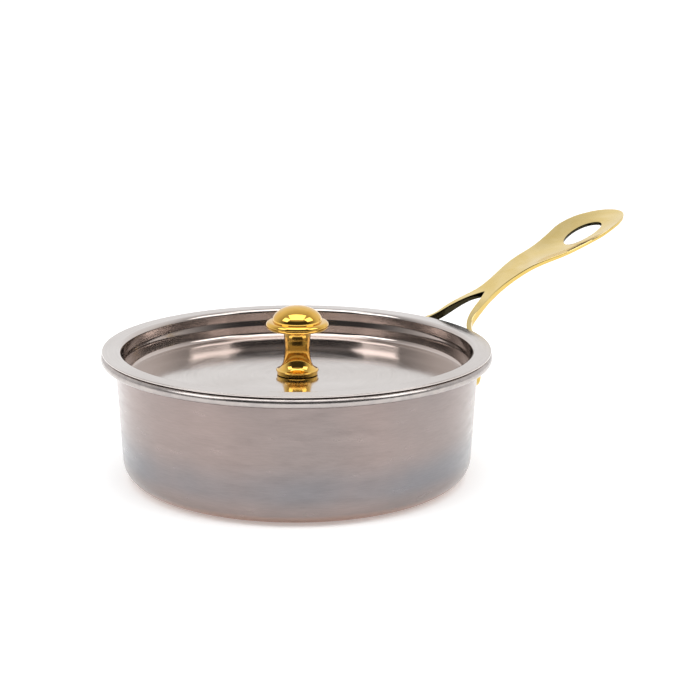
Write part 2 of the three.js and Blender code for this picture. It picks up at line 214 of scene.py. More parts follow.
def round_axis(tree):
    """Where a spot is on a turned piece: its direction from the axis, its radius and its height."""
    where = put(tree, "TexCoord").outputs["Object"]
    height = put(tree, "SeparateXYZ", (0, where)).outputs[2]
    flat = put(tree, "VectorMath", (0, where), (1, (1, 1, 0)), operation="MULTIPLY").outputs[0]
    radius = put(tree, "VectorMath", (0, flat), operation="LENGTH").outputs["Value"]
    way = put(tree, "VectorMath", (0, flat), operation="NORMALIZE").outputs[0]
    return way, radius, height


NOISE_SPAN = (0.3, 0.7)
TARNISH_SPAN = (0.32, 0.68)

# Marks that run round a piece: fine lines from the brush or the lathe, and broader soft bands
marks_group, given, result = new_group(
    "turning marks", {"Lines per metre": 2000, "Run": 6}, ["Lines", "Bands"],
)
way, radius, height = round_axis(marks_group)
across = math_of(marks_group, "ADD", radius, height)
for label, share, detail in (("Lines", 1.0, 3.0), ("Bands", 0.12, 2.0)):
    pitch = math_of(marks_group, "MULTIPLY", given.outputs["Lines per metre"], share)
    step = math_of(marks_group, "MULTIPLY", across, pitch)
    run = math_of(marks_group, "MULTIPLY", given.outputs["Run"], share ** 0.5)
    along = put(marks_group, "VectorMath", (0, way), ("Scale", run), operation="SCALE").outputs[0]
    stack = put(marks_group, "CombineXYZ", (2, step)).outputs[0]
    spot = put(marks_group, "VectorMath", (0, along), (1, stack), operation="ADD").outputs[0]
    cloud = put(marks_group, "TexNoise", ("Vector", spot), ("Scale", 1.0), ("Detail", detail))
    value = spread(marks_group, cloud.outputs[0], *NOISE_SPAN)
    marks_group.links.new(value, result.inputs[label])

# Tarnish: large soft clouds with finer mottling inside them
tarnish_group, given, result = new_group(
    "tarnish", {"Clouds per metre": 14, "Mottle per metre": 160}, ["Clouds", "Mottle"],
)
where = put(tarnish_group, "TexCoord").outputs["Object"]
for label, source, detail in (("Clouds", 0, 3.0), ("Mottle", 1, 5.0)):
    cloud = put(
        tarnish_group, "TexNoise", ("Vector", where), ("Scale", given.outputs[source]),
        ("Detail", detail), ("Distortion", 0.4),
    )
    value = spread(tarnish_group, cloud.outputs[0], *TARNISH_SPAN)
    tarnish_group.links.new(value, result.inputs[label])


QUARTER_TURN = 0.25


def new_metal(name, colour, roughness, turned_finish=0.0):
    """A bare metal: returns the material, its node tree and its Principled shader.

    Colour and roughness are the plain values that each finish is then laid over.
    """
    material = bpy.data.materials.new(name)
    material.use_nodes = True
    tree = material.node_tree
    tree.nodes.clear()
    shader = put(
        tree, "BsdfPrincipled", ("Base Color", (*colour, 1)), ("Metallic", 1.0),
        ("Roughness", roughness), ("Anisotropic", turned_finish),
    )
    if turned_finish:
        # The lines run round the piece, so its highlights stretch across them, a quarter turn away
        around = put(tree, "Tangent", direction_type="RADIAL", axis="Z").outputs[0]
        tree.links.new(around, shader.inputs["Tangent"])
        shader.inputs["Anisotropic Rotation"].default_value = QUARTER_TURN
    out = tree.nodes.new("ShaderNodeOutputMaterial")
    tree.links.new(shader.outputs[0], out.inputs[0])
    return material, tree, shader


def emboss(tree, shader, height, depth_mm):
    """Raises the surface by a height map; depth is in millimetres."""
    bump = put(tree, "Bump", ("Strength", 1.0), ("Distance", depth_mm * MM), ("Height", height))
    tree.links.new(bump.outputs[0], shader.inputs["Normal"])


jacket_copper, tree, shader = new_metal("brushed copper", COPPER_BROWN, JACKET_ROUGHNESS[0], 0.75)
shader.inputs["Coat Weight"].default_value = 0.6
shader.inputs["Coat Roughness"].default_value = 0.2
marks = use_group(tree, marks_group, **{"Lines per metre": 2400, "Run": 16})
tarnish = use_group(tree, tarnish_group, **{"Clouds per metre": 12})
_, radius, height = round_axis(tree)
tone = blend(tree, tarnish.outputs["Clouds"], COPPER_BROWN, COPPER_GREY)
# Painted reflection: a blue-grey band low on the wall, uneven round the pan, stands in for the
# floor's shadow reflected there, and an orange tint at the corner stands in for a warm reflection
# Painted reflection: the floor's shadow as the lower wall shows it
painted_reflection_band = math_of(
    tree, "MULTIPLY",
    spread(tree, height, 0.006, 0.014, smooth=True),
    spread(tree, height, 0.030, 0.016, smooth=True),
)
painted_floor_shadow = math_of(tree, "MULTIPLY", painted_reflection_band, spread(tree, tarnish.outputs["Clouds"], -0.4, 1.2))
tone = blend(tree, painted_floor_shadow, tone, FLOOR_SHADOW_BLUE)
# Painted reflection: the bottom corner is tinted orange, standing in for a warm reflection there
painted_corner_reflection = math_of(
    tree, "MULTIPLY", spread(tree, height, 0.005, 0.0005), spread(tree, radius, 0.066, 0.073),
)
tone = blend(tree, math_of(tree, "MULTIPLY", painted_corner_reflection, 0.7), tone, CORNER_REFLECTION_ORANGE)
streaks = spread(tree, marks.outputs["Lines"], 0, 1, 0.95, 1.04)
tone = blend(tree, 1.0, tone, streaks, "MULTIPLY")
tree.links.new(tone, shader.inputs["Base Color"])
rough = spread(tree, marks.outputs["Bands"], 0, 1, *JACKET_ROUGHNESS)
tree.links.new(rough, shader.inputs["Roughness"])
emboss(tree, shader, marks.outputs["Lines"], depth_mm=0.004)
jacket.data.materials.append(jacket_copper)

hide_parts("pan_jacket")
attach(jacket, "pan")


# ---------- Steel lining ----------
# A thin stainless cup bonded inside the jacket. Its top is turned out over the jacket's edge and
# rolled right round it into the bead that stiffens the rim.

BEAD_RADIUS = 2.25
BEAD_CURL = 240
STEEL_WARM = (0.48, 0.435, 0.412)
STEEL_GREY = (0.39, 0.355, 0.345)
STEEL_ROUGHNESS = (0.16, 0.28)

lining_depth = COPPER_SHEET + NEST_GAP
bead_centre = (RIM_RADIUS - BEAD_RADIUS, PAN_HEIGHT - BEAD_RADIUS)
curl_end = 90 - BEAD_CURL
lining = turned("lining", [
    (0, lining_depth),
    *wall_surface(lining_depth),
    *arc(bead_centre, BEAD_RADIUS - STEEL_SHEET, 90, curl_end, 20),
    *arc(bead_centre, BEAD_RADIUS, curl_end, 90, 28),
    *reversed(wall_surface(SHELL_DEPTH)),
    (0, SHELL_DEPTH),
])

lining_steel, tree, shader = new_metal("spun steel", STEEL_WARM, STEEL_ROUGHNESS[0], 0.5)
marks = use_group(tree, marks_group, **{"Lines per metre": 3500, "Run": 4})
tarnish = use_group(tree, tarnish_group, **{"Mottle per metre": 260})
tone = blend(tree, tarnish.outputs["Mottle"], STEEL_WARM, STEEL_GREY)
tree.links.new(tone, shader.inputs["Base Color"])
rough = spread(tree, marks.outputs["Lines"], 0, 1, *STEEL_ROUGHNESS)
tree.links.new(rough, shader.inputs["Roughness"])
emboss(tree, shader, marks.outputs["Lines"], depth_mm=0.004)
lining.data.materials.append(lining_steel)

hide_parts("pan_lining")
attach(lining, "pan")


# ---------- Brass handle ----------
# One brass casting, filed and polished by hand: a dished oval end with a slot to hang it by, an
# arm that narrows to a neck, and two legs that fork round the rim down to round feet. Every edge
# is softly rounded by the polishing wheel.

SEAT_GAP = 0.25
ARM_START = RIM_RADIUS + 24.5
ARM_LENGTH = 63.5
END_CENTRE = ARM_START + ARM_LENGTH
END_LENGTH = 27.3
END_WIDTH = 16.8
NECK_WIDTH = 6.0
ARM_END = END_CENTRE + END_LENGTH
FORK_HEIGHT = PAN_HEIGHT + 13.0
TIP_HEIGHT = PAN_HEIGHT + 42.5
ARM_ROOT_THICKNESS = 3.0
ARM_END_THICKNESS = 1.6
CUP_HEIGHT = 3.25
SLOT_CENTRE = END_CENTRE + 2.6
SLOT_LENGTH = 11.7
SLOT_WIDTH = 7.0
LEG_WIDTHS = (5.0, 2.3)
LEG_THICKNESSES = (2.3, 3.6)
LEG_LAP = 9
# Shares of the way down a leg over which it narrows, thickens and turns its face to the pan
LEG_NARROWS = (0, 0.45)
LEG_THICKENS = (0.1, 0.3)
LEG_TURNS_IN = (0.3, 0.85)
# Bends of a leg: how far out past the rim, share of the turn to the foot, height over the rim
LEG_BENDS = ((12.2, 0.17, 7.1), (3.2, 0.28, 1.1), (0, 0.46, -2.9), (-3.2, 0.68, -8.2))
RIM_CLEARANCE = 0.3
BELOW_BEAD = PAN_HEIGHT - 2 * BEAD_RADIUS - 1.5
FOOT_ANGLE = 26
FOOT_HEIGHT = PAN_HEIGHT - 14.8
FOOT_PAD_RADIUS = 6.5
FOOT_THICKNESS = 3.4
FOOT_ROUND_UNDER = 0.4
FOOT_ROUND_TOP = 1.1
EDGE_CREASE = 0.62
CREASE_ANGLE = 55
BRASS_FACE = (0.84, 0.68, 0.35)
BRASS_HAZE = (0.75, 0.56, 0.20)
BRASS_SIDE_SHADE = (0.60, 0.42, 0.10)
PAINTED_SHADE_BLACK = (0.03, 0.026, 0.014)
HANDLE_ROUGHNESS = (0.08, 0.20)


def lerp(a, b, share):
    return a + (b - a) * share


def smoothstep(value, low, high):
    share = min(1, max(0, (value - low) / (high - low)))
    return share * share * (3 - 2 * share)


def glide(points, share):
    """A spot on a smooth curve through points, at a share of the way along."""
    last = len(points) - 1
    place = min(share * last, last - 1e-9)
    i = int(place)
    w = place - i
    p0, p1, p2, p3 = (Vector(points[min(last, max(0, i + k))]) for k in (-1, 0, 1, 2))
    v0, v1 = (p2 - p0) / 2, (p3 - p1) / 2
    return (2 * p1 - 2 * p2 + v0 + v1) * w**3 + (3 * p2 - 3 * p1) * w**2 \
        - (2 * v0 + v1) * w**2 + v0 * w + p1


def read_curve(points, x):
    """A curve's height at an x that it runs through."""
    low, high = 0.0, 1.0
    for _ in range(28):
        middle = (low + high) / 2
        if glide(points, middle)[0] < x:
            low = middle
        else:
            high = middle
    return glide(points, low)[1]


arm_rise = [
    (lerp(ARM_START, ARM_END, along), lerp(FORK_HEIGHT, TIP_HEIGHT, up))
    for along, up in ((0, 0), (0.242, 0.34), (0.518, 0.518), (0.793, 0.836), (1, 1))
]
arm_edge = [
    (ARM_START + along * ARM_LENGTH, lerp(NECK_WIDTH, END_WIDTH, out))
    for along, out in ((0, 0.055), (0.126, 0), (0.362, 0.212), (0.677, 0.566), (1, 1))
]


def arm_half(x):
    if x < END_CENTRE:
        return read_curve(arm_edge, x)
    return END_WIDTH * math.sqrt(max(0, 1 - ((x - END_CENTRE) / END_LENGTH) ** 2))


def on_arm(x, y):
    """The top and underside of the arm at a spot: it rises along its length to a dished end."""
    across = y / (arm_half(x) if x < END_CENTRE else END_WIDTH)
    out = math.hypot(across, max(0, x - END_CENTRE) / END_LENGTH)
    z = read_curve(arm_rise, x) + CUP_HEIGHT * smoothstep(x, ARM_START, END_CENTRE) * out**2
    thinned = math.sin(min(1, (x - ARM_START) / ARM_LENGTH) * math.pi / 2)
    thickness = lerp(ARM_ROOT_THICKNESS, ARM_END_THICKNESS, thinned)
    return Vector((x, y, z)), Vector((x, y, z - thickness))


def around(radius, degrees, z):
    turn = math.radians(degrees)
    return (radius * math.cos(turn), radius * math.sin(turn), z)


outside = RIM_RADIUS + RIM_CLEARANCE + LEG_THICKNESSES[1] / 2
lap_top, lap_under = on_arm(ARM_START + LEG_LAP, 0)
leg_path = [
    around(ARM_START + LEG_LAP, 0.5, (lap_top.z + lap_under.z) / 2),
    *(
        around(outside + out, turn * FOOT_ANGLE, PAN_HEIGHT + up)
        for out, turn, up in LEG_BENDS
    ),
    around(wall_radius(FOOT_HEIGHT) + SEAT_GAP + FOOT_THICKNESS / 2, FOOT_ANGLE, FOOT_HEIGHT),
]


def clear_of_rim(spot):
    """Keeps a spot on a leg just outside the bead, as the real leg is fitted."""
    reach = math.hypot(spot.x, spot.y)
    least = RIM_RADIUS + RIM_CLEARANCE
    if spot.z > BELOW_BEAD and reach < least:
        spot.x, spot.y = spot.x * least / reach, spot.y * least / reach
    return spot


def on_leg(share):
    """The top and underside of a leg at a share of the way down, each (outer, middle, inner)."""
    centre = glide(leg_path, share)
    along = (glide(leg_path, min(1, share + 0.01)) - glide(leg_path, share - 0.01)).normalized()
    inward = Vector((-centre.x, -centre.y, 0)).normalized()
    facing = Vector((0, 0, 1)).lerp(inward, smoothstep(share, *LEG_TURNS_IN))
    side = facing.cross(along).normalized()
    up = along.cross(side)
    half = lerp(*LEG_WIDTHS, smoothstep(share, *LEG_NARROWS)) / 2
    deep = lerp(*LEG_THICKNESSES, smoothstep(share, *LEG_THICKENS)) / 2
    rows = []
    for lift in (up * deep, -up * deep):
        row = [centre + side * half * k + lift for k in (-1, 0, 1)]
        rows.append([clear_of_rim(spot) for spot in row])
    return rows


# Each column is a top row and an under row of three spots, from the handle's edge to its middle.
# They run up a leg, along the arm, past the slot, and close the end with two that follow its oval
LEG_COLUMNS = 16
LEG_COLUMN_PITCH = 0.0573
ARM_COLUMNS = (0, 3.5, 8, 13, 18.5, 24, 29.5, 35, 40.5, 46)
SLOT_COLUMN_TURNS = range(180, -1, -20)
END_COLUMNS = (((46, 24, 0), (1, 0.93, 0.9021)), ((34, 17, 0), (1, 1, 1)))

columns = [on_leg(1 - i * LEG_COLUMN_PITCH) for i in range(LEG_COLUMNS)]
for out in ARM_COLUMNS:
    x = ARM_START + out
    half = arm_half(x)
    columns.append(tuple(zip(*(on_arm(x, y) for y in (half, half / 2, 0)))))
for turn in SLOT_COLUMN_TURNS:
    x = SLOT_CENTRE + SLOT_LENGTH * math.cos(math.radians(turn))
    inner = SLOT_WIDTH * math.sin(math.radians(turn))
    half = arm_half(x)
    spots = (half, (half + inner) / 2, inner if 0 < turn < 180 else 0)
    columns.append(tuple(zip(*(on_arm(x, y) for y in spots))))
for turns, shares in END_COLUMNS:
    spots = []
    for turn, share in zip(turns, shares):
        x = END_CENTRE + END_LENGTH * math.cos(math.radians(turn)) * share
        spots.append(on_arm(x, END_WIDTH * math.sin(math.radians(turn)) * share))
    columns.append(tuple(zip(*spots)))

cage = bmesh.new()
for side in (1, -1):
    made = [
        [[cage.verts.new((s.x, s.y * side, s.z)) for s in row] for row in column]
        for column in columns
    ]
    for (top_a, under_a), (top_b, under_b) in zip(made, made[1:]):
        for k in (0, 1):
            cage.faces.new((top_a[k], top_a[k + 1], top_b[k + 1], top_b[k]))
            cage.faces.new((under_a[k + 1], under_a[k], under_b[k], under_b[k + 1]))
        cage.faces.new((under_a[0], top_a[0], top_b[0], under_b[0]))
        # The inner side is open where both columns reach the middle line
        if abs(top_a[2].co.y) > ON_AXIS or abs(top_b[2].co.y) > ON_AXIS:
            cage.faces.new((top_a[2], under_a[2], under_b[2], top_b[2]))
    for top, under in (made[0], made[-1]):
        for k in (0, 1):
            cage.faces.new((top[k], top[k + 1], under[k + 1], under[k]))
bmesh.ops.remove_doubles(cage, verts=cage.verts, dist=10 * SAME_SPOT)
bmesh.ops.recalc_face_normals(cage, faces=cage.faces)
crease = cage.edges.layers.float.new("crease_edge")
for edge in cage.edges:
    if len(edge.link_faces) == 2 and edge.calc_face_angle() > math.radians(CREASE_ANGLE):
        edge[crease] = EDGE_CREASE
rough_cast = as_object(cage, "handle casting")
rounding = rough_cast.modifiers.new("rounding", "SUBSURF")
rounding.levels = 3
bpy.context.view_layer.update()
smooth_cast = rough_cast.evaluated_get(bpy.context.evaluated_depsgraph_get())
whole = bmesh.new()
whole.from_mesh(bpy.data.meshes.new_from_object(smooth_cast))
bmesh.ops.scale(whole, vec=(1 / MM,) * 3, verts=whole.verts)
bpy.data.objects.remove(rough_cast)


def onto_wall(side):
    """Carries a form made along +Z onto the wall at a foot, facing straight out of the wall."""
    tip = Matrix.Rotation(math.pi / 2 - math.radians(wall_tilt), 4, "Y")
    move = Matrix.Translation((wall_radius(FOOT_HEIGHT), 0, FOOT_HEIGHT))
    return Matrix.Rotation(side * math.radians(FOOT_ANGLE), 4, "Z") @ move @ tip


foot_top = SEAT_GAP + FOOT_THICKNESS
under_centre = (FOOT_PAD_RADIUS - FOOT_ROUND_UNDER, SEAT_GAP + FOOT_ROUND_UNDER)
top_centre = (FOOT_PAD_RADIUS - FOOT_ROUND_TOP, foot_top - FOOT_ROUND_TOP)
for side in (1, -1):
    pad = spin(bmesh.new(), steadied([
        (0, SEAT_GAP),
        *arc(under_centre, FOOT_ROUND_UNDER, -90, 0, 4),
        *arc(top_centre, FOOT_ROUND_TOP, 0, 90, 8),
        (0, foot_top),
    ]), 64)
    bmesh.ops.transform(pad, matrix=onto_wall(side), verts=pad.verts)
    part = bpy.data.meshes.new("foot")
    pad.to_mesh(part)
    pad.free()
    whole.from_mesh(part)
handle = as_object(whole, "handle")

# Hand polishing leaves a bright, very slightly uneven face with fine swirls and hazy patches
polish_group, given, result = new_group(
    "hand polish", {"Haze per metre": 40, "Swirls per metre": 900}, ["Haze", "Swirls", "Waves"],
)
where = put(polish_group, "TexCoord").outputs["Object"]
haze = put(
    polish_group, "TexNoise", ("Vector", where), ("Scale", given.outputs[0]), ("Detail", 6.0),
    ("Roughness", 0.65), ("Distortion", 0.8),
)
swirls = put(
    polish_group, "TexNoise", ("Vector", where), ("Scale", given.outputs[1]), ("Detail", 2.0),
    ("Distortion", 2.5),
)
waves = put(
    polish_group, "TexNoise", ("Vector", where), ("Scale", given.outputs[0]), ("Detail", 0.0),
)
for label, cloud in (("Haze", haze), ("Swirls", swirls), ("Waves", waves)):
    value = spread(polish_group, cloud.outputs[0], *NOISE_SPAN)
    polish_group.links.new(value, result.inputs[label])


def new_brass(name, pale, deep, roughness, wave_mm, **pattern):
    """Polished brass: colour drifts between two tones and the polish between two roughnesses."""
    material, tree, shader = new_metal(name, pale, roughness[0])
    polish = use_group(tree, polish_group, **pattern)
    tone = blend(tree, polish.outputs["Haze"], pale, deep)
    tree.links.new(tone, shader.inputs["Base Color"])
    gloss = math_of(tree, "MULTIPLY", polish.outputs["Haze"], polish.outputs["Swirls"])
    tree.links.new(spread(tree, gloss, 0, 0.8, *roughness), shader.inputs["Roughness"])
    emboss(tree, shader, polish.outputs["Waves"], wave_mm)
    return material, tree, shader


handle_brass, tree, shader = new_brass(
    "polished cast brass", BRASS_FACE, BRASS_HAZE, HANDLE_ROUGHNESS, wave_mm=0.05,
    **{"Haze per metre": 45, "Swirls per metre": 700},
)
spot = put(tree, "TexCoord")
place = put(tree, "SeparateXYZ", (0, spot.outputs["Object"])).outputs
face = put(tree, "SeparateXYZ", (0, spot.outputs["Normal"])).outputs
# Painted shade: faces turned to the side are given a deeper gold than the pale tops
side_facing = spread(tree, math_of(tree, "ABSOLUTE", face[2]), 0.85, 0.45)
polished = shader.inputs["Base Color"].links[0].from_socket
tone = blend(tree, math_of(tree, "MULTIPLY", side_facing, 0.75), polished, BRASS_SIDE_SHADE)
# Painted shade: the faces between the legs and the walls of the slot are painted near black.
# Between the legs the painted shade fades out ahead of the fork; in the slot it stops at the slot's
# edge
SHADE_FADES = (0.121, 0.112)
SHADE_MARGIN = 0.5
inner = math_of(tree, "MULTIPLY", face[1], math_of(tree, "SIGN", place[1]))
between = math_of(
    tree, "MULTIPLY",
    spread(tree, inner, -0.35, -0.7), spread(tree, place[0], *SHADE_FADES, smooth=True),
)
slot_x = math_of(tree, "SUBTRACT", place[0], SLOT_CENTRE * MM)
slot_x = math_of(tree, "DIVIDE", slot_x, (SLOT_LENGTH + SHADE_MARGIN) * MM)
slot_y = math_of(tree, "DIVIDE", place[1], (SLOT_WIDTH + SHADE_MARGIN) * MM)
slot_out = put(tree, "CombineXYZ", (0, slot_x), (1, slot_y)).outputs[0]
slot_out = put(tree, "VectorMath", (0, slot_out), operation="LENGTH").outputs["Value"]
in_slot = math_of(tree, "MULTIPLY", spread(tree, slot_out, 1.03, 1.0), side_facing)
painted_shade = math_of(tree, "MAXIMUM", between, in_slot)
tone = blend(tree, painted_shade, tone, PAINTED_SHADE_BLACK)
tree.links.new(tone, shader.inputs["Base Color"])
handle.data.materials.append(handle_brass)

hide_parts("handle")
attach(handle, "pan")


# ---------- Rivets ----------
# A brass rivet through each foot, the jacket and the lining holds the handle. Its outer head is
# hammered to a low dome, and its tail is set flat inside the pan.

RIVET_RADIUS = 2.0
RIVET_HEAD = (3.6, 1.6)
RIVET_TAIL = (3.0, 0.6)
TAIL_ROUND = 0.3
HAMMER_DEPTH = 0.09
HAMMER_LIP = 0.3
HAMMERED_PALE = (0.88, 0.66, 0.30)
HAMMERED_DEEP = (0.72, 0.50, 0.20)

rivet_seat = foot_top + SEAT_GAP
rivet_top = rivet_seat + RIVET_HEAD[1]
tail_seat = -(SHELL_DEPTH + SEAT_GAP)
tail_end = tail_seat - RIVET_TAIL[1]
dome = (RIVET_HEAD[0] ** 2 + RIVET_HEAD[1] ** 2) / (2 * RIVET_HEAD[1])
dome_span = math.degrees(math.asin(RIVET_HEAD[0] / dome))
rivet_brass, _, _ = new_brass(
    "hammered brass", HAMMERED_PALE, HAMMERED_DEEP, (0.16, 0.34), wave_mm=0.12,
    **{"Haze per metre": 420, "Swirls per metre": 1600},
)
for name, side in (("rivet_left", 1), ("rivet_right", -1)):
    shape = spin(bmesh.new(), steadied([
        (0, tail_end),
        *arc((RIVET_TAIL[0] - TAIL_ROUND, tail_end + TAIL_ROUND), TAIL_ROUND, -90, 0, 5),
        (RIVET_TAIL[0], tail_seat),
        (RIVET_RADIUS, tail_seat),
        (RIVET_RADIUS, rivet_seat),
        *arc((0, rivet_top - dome), dome, 90 - dome_span, 90, 16),
    ]), 72)
    for vert in shape.verts:
        # Hammer marks on the head, different on each rivet
        if vert.co.z > rivet_seat + HAMMER_LIP:
            dent = noise.noise(vert.co * 0.9 + Vector((7 * side, 0, 0)))
            vert.co.z -= HAMMER_DEPTH * (1 + dent)
    bmesh.ops.transform(shape, matrix=onto_wall(side), verts=shape.verts)
    rivet = as_object(shape, name)
    rivet.data.materials.append(rivet_brass)
    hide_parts(name)
    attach(rivet, "pan")


# ---------- Lid ----------
# One disc of copper, pressed to a flat flange and a sunk floor with a shallow step half way down,
# then satin polished. It rests on the bead and can be lifted straight off.

LID_RADIUS = RIM_RADIUS - 0.6
LID_SHEET = 0.9
LID_EDGE_ROUND = 0.3
LID_PLAY = 0.54
LID_DEPTH = 13.5
LID_STEP = 0.7
LID_WALL_DRAFT = 0.3
LID_MOUTH_FILLET = 1.9
LID_FLOOR_FILLET = 2.4
# The step down the wall: how far in, as a share of the step, and how far up, in steps
STEP_BENDS = ((0, -2.4), (0.1, -1.4), (0.5, 0), (0.9, 1.4), (1, 2.4))
SCREW_HOLE = 2.15
LID_PALE = (0.63, 0.59, 0.57)
LID_DARK = (0.53, 0.48, 0.455)
WALL_REFLECTION_BROWN = (0.54, 0.455, 0.415)

lid_top = PAN_HEIGHT + SEAT_GAP + LID_SHEET
lid_floor = lid_top - LID_DEPTH
lid_step = lid_top - LID_DEPTH / 2
lid_mouth = NECK_RADIUS - SHELL_DEPTH - LID_PLAY - LID_SHEET
lower_wall = lid_mouth - LID_WALL_DRAFT - LID_STEP
floor_wall = lower_wall - LID_WALL_DRAFT


def lid_face(depth):
    """One face of the lid, from its middle out, at a depth below the top of its sheet."""
    floor_centre = (floor_wall - LID_FLOOR_FILLET, lid_floor + LID_FLOOR_FILLET)
    mouth_centre = (lid_mouth + LID_MOUTH_FILLET, lid_top - LID_MOUTH_FILLET)
    ledge = lower_wall + depth
    return [
        (SCREW_HOLE, lid_floor - depth),
        *arc(floor_centre, LID_FLOOR_FILLET + depth, -90, 0, 10),
        *((ledge + out * LID_STEP, lid_step + up * LID_STEP) for out, up in STEP_BENDS),
        *arc(mouth_centre, LID_MOUTH_FILLET - depth, 180, 90, 10),
    ]


edge_radius = LID_RADIUS - LID_EDGE_ROUND
under = lid_face(LID_SHEET)
lid = turned("lid", [
    *under,
    *arc((edge_radius, lid_top - LID_SHEET + LID_EDGE_ROUND), LID_EDGE_ROUND, -90, 0, 5),
    *arc((edge_radius, lid_top - LID_EDGE_ROUND), LID_EDGE_ROUND, 0, 90, 5),
    *reversed(lid_face(0)),
    under[0],
])

lid_copper, tree, shader = new_metal("satin copper", LID_PALE, 0.12, 0.35)
marks = use_group(tree, marks_group, **{"Lines per metre": 2600, "Run": 3})
tarnish = use_group(tree, tarnish_group, **{"Clouds per metre": 16})
polish = use_group(tree, polish_group, **{"Haze per metre": 30})
tone = blend(tree, tarnish.outputs["Clouds"], LID_PALE, LID_DARK)
streaks = spread(tree, marks.outputs["Lines"], 0, 1, 0.94, 1.04)
tone = blend(tree, 1.0, tone, streaks, "MULTIPLY")
# Painted reflection: the recess wall is given a darker brown, standing in for the dim surroundings
# it reflects
_, radius, height = round_axis(tree)
painted_wall_reflection = math_of(
    tree, "MULTIPLY",
    spread(tree, radius, (floor_wall - 2.2) * MM, (floor_wall - 0.6) * MM),
    spread(tree, height, lid_top * MM, (lid_top - 2.2) * MM),
)
tone = blend(tree, math_of(tree, "MULTIPLY", painted_wall_reflection, 0.85), tone, WALL_REFLECTION_BROWN)
tree.links.new(tone, shader.inputs["Base Color"])
rough = math_of(
    tree, "ADD",
    spread(tree, polish.outputs["Haze"], 0, 1, 0.07, 0.13),
    spread(tree, marks.outputs["Bands"], 0, 1, 0.0, 0.05),
)
tree.links.new(rough, shader.inputs["Roughness"])
emboss(tree, shader, marks.outputs["Lines"], depth_mm=0.001)
lid.data.materials.append(lid_copper)

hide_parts("lid")
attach(lid, "lid")


# ---------- Knob ----------
# A knob turned from solid brass and mirror polished: a foot with a thin lip, a waisted stem, and
# a domed head over a rounded brim. It is bored from below for its screw.

KNOB_HEIGHT = 31.7
KNOB_BASE = 9.3
KNOB_BAND = 1.6
KNOB_LIP = 0.4
KNOB_WAIST = 5.7
KNOB_WAIST_SHARE = 0.5
KNOB_BRIM = 14.3
KNOB_BRIM_EDGE = 1.75
KNOB_DOME = (11.25, 6.9)
KNOB_BORE = 10.0
# The stem's curve below and above its waist: share of the way out, and share of the way up
STEM_BELOW_WAIST = ((0.44, 0.2), (0.16, 0.5), (0, 1))
STEM_ABOVE_WAIST = ((0.03, 0.45), (0.2, 0.88), (1, 1))
STEM_STEPS = 40
KNOB_PALE = (0.80, 0.50, 0.115)
KNOB_DEEP = (0.70, 0.40, 0.07)

knob_seat = lid_floor + SEAT_GAP
dome_base = KNOB_HEIGHT - KNOB_DOME[1]
brim_top = dome_base - 0.2
brim_centre = (KNOB_BRIM - KNOB_BRIM_EDGE, brim_top - KNOB_BRIM_EDGE)
lip_centre = (KNOB_BASE, KNOB_BAND + KNOB_LIP)
stem_foot = (lip_centre[0] - KNOB_LIP, lip_centre[1] + KNOB_LIP)
stem_top = (brim_centre[0] - KNOB_BRIM_EDGE, brim_top - 2.2 * KNOB_BRIM_EDGE)
stem = [stem_foot]
for out, up in STEM_BELOW_WAIST:
    height = lerp(stem_foot[1], stem_top[1], up * KNOB_WAIST_SHARE)
    stem.append((lerp(KNOB_WAIST, stem_foot[0], out), height))
for out, up in STEM_ABOVE_WAIST:
    height = lerp(stem_foot[1], stem_top[1], lerp(KNOB_WAIST_SHARE, 1, up))
    stem.append((lerp(KNOB_WAIST, stem_top[0], out), height))
knob_profile = [
    (0, KNOB_BORE),
    (SCREW_HOLE, KNOB_BORE - 1),
    (SCREW_HOLE, 0),
    (KNOB_BASE - 0.25, 0),
    (KNOB_BASE, 0.25),
    *arc(lip_centre, KNOB_LIP, -90, 90, 8),
    *(tuple(glide(stem, (i + 1) / STEM_STEPS)) for i in range(STEM_STEPS)),
    *arc(brim_centre, KNOB_BRIM_EDGE, -90, 90, 16),
    *((KNOB_DOME[0] * x, dome_base + KNOB_DOME[1] * z) for x, z in arc((0, 0), 1, 0, 89.99, 28)),
    (0, KNOB_HEIGHT),
]
knob = turned("knob", [(r, z + knob_seat) for r, z in knob_profile], 144)

knob_brass, tree, shader = new_brass(
    "turned brass", KNOB_PALE, KNOB_DEEP, (0.04, 0.09), wave_mm=0.02,
    **{"Haze per metre": 60, "Swirls per metre": 1200},
)
knob.data.materials.append(knob_brass)

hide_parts("knob")
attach(knob, "lid")


# ---------- Screw and washer ----------
# A slotted steel screw comes up through a washer and the lid into the knob and holds it down.

SCREW_RADIUS = 2.0
SCREW_HEAD = (3.9, 2.4)
SCREW_ROUND = 1.2
SCREW_SLOT = (1.0, 1.2)
SCREW_REACH = 8
SCREW_TIP = 0.4
WASHER = (5.0, 0.8)
WASHER_ROUND = 0.2
SCREW_SHARP_ANGLE = 35
SATIN_LIGHT = (0.60, 0.60, 0.58)
SATIN_DARK = (0.50, 0.49, 0.48)
FASTENER_ROUGHNESS = (0.2, 0.4)

fastener_steel, tree, shader = new_metal("satin steel", SATIN_LIGHT, FASTENER_ROUGHNESS[0], 0.3)
marks = use_group(tree, marks_group, **{"Lines per metre": 6000, "Run": 3})
rough = spread(tree, marks.outputs["Lines"], 0, 1, *FASTENER_ROUGHNESS)
tree.links.new(rough, shader.inputs["Roughness"])
tone = blend(tree, marks.outputs["Bands"], SATIN_LIGHT, SATIN_DARK)
tree.links.new(tone, shader.inputs["Base Color"])
emboss(tree, shader, marks.outputs["Lines"], depth_mm=0.006)

washer_top = lid_floor - LID_SHEET - NEST_GAP
washer_under = washer_top - WASHER[1]
washer_edge = WASHER[0] - WASHER_ROUND
washer = turned("knob_washer", [
    (SCREW_HOLE, washer_under),
    *arc((washer_edge, washer_under + WASHER_ROUND), WASHER_ROUND, -90, 0, 4),
    *arc((washer_edge, washer_top - WASHER_ROUND), WASHER_ROUND, 0, 90, 4),
    (SCREW_HOLE, washer_top),
    (SCREW_HOLE, washer_under),
], 96)

